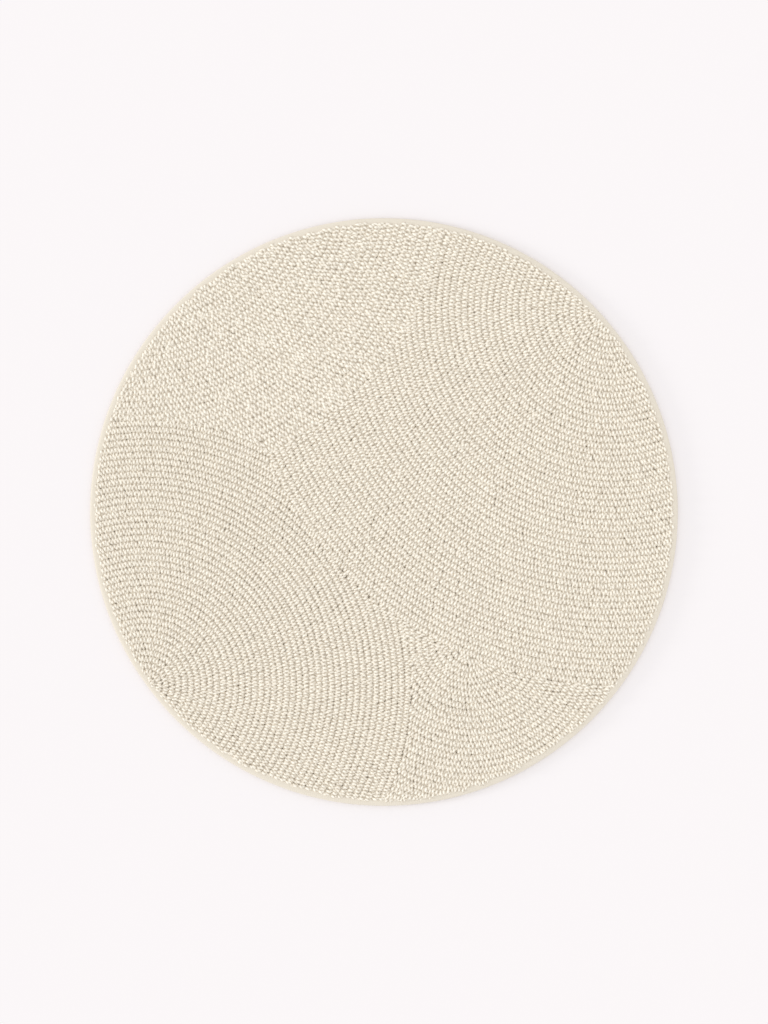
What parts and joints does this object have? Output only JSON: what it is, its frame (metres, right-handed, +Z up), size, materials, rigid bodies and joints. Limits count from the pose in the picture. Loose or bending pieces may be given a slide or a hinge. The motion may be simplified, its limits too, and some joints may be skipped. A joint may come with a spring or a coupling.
{
  "type": "round wool rug",
  "caption": "Flat round rug of cream wool loop pile, its rows laid in four regions of concentric arcs, with a whipped edge binding.",
  "frame": {"origin": "middle of the underside, on the surface that the rug lies on", "axes": "+Z up out of the pile; +Y towards the top edge of the rug as it is seen from above, +X to its right"},
  "size_m": [1.2, 1.2, 0.014],
  "materials": {
    "wool_pile": "undyed cream wool in thick plied loops, matt, with a soft fuzz",
    "edge_yarn": "cream wool yarn, whipped closely round the edge, matt"
  },
  "bodies": {
    "root": {"pile_field": "wool_pile", "edge_binding": "edge_yarn"}
  },
  "joints": []
}
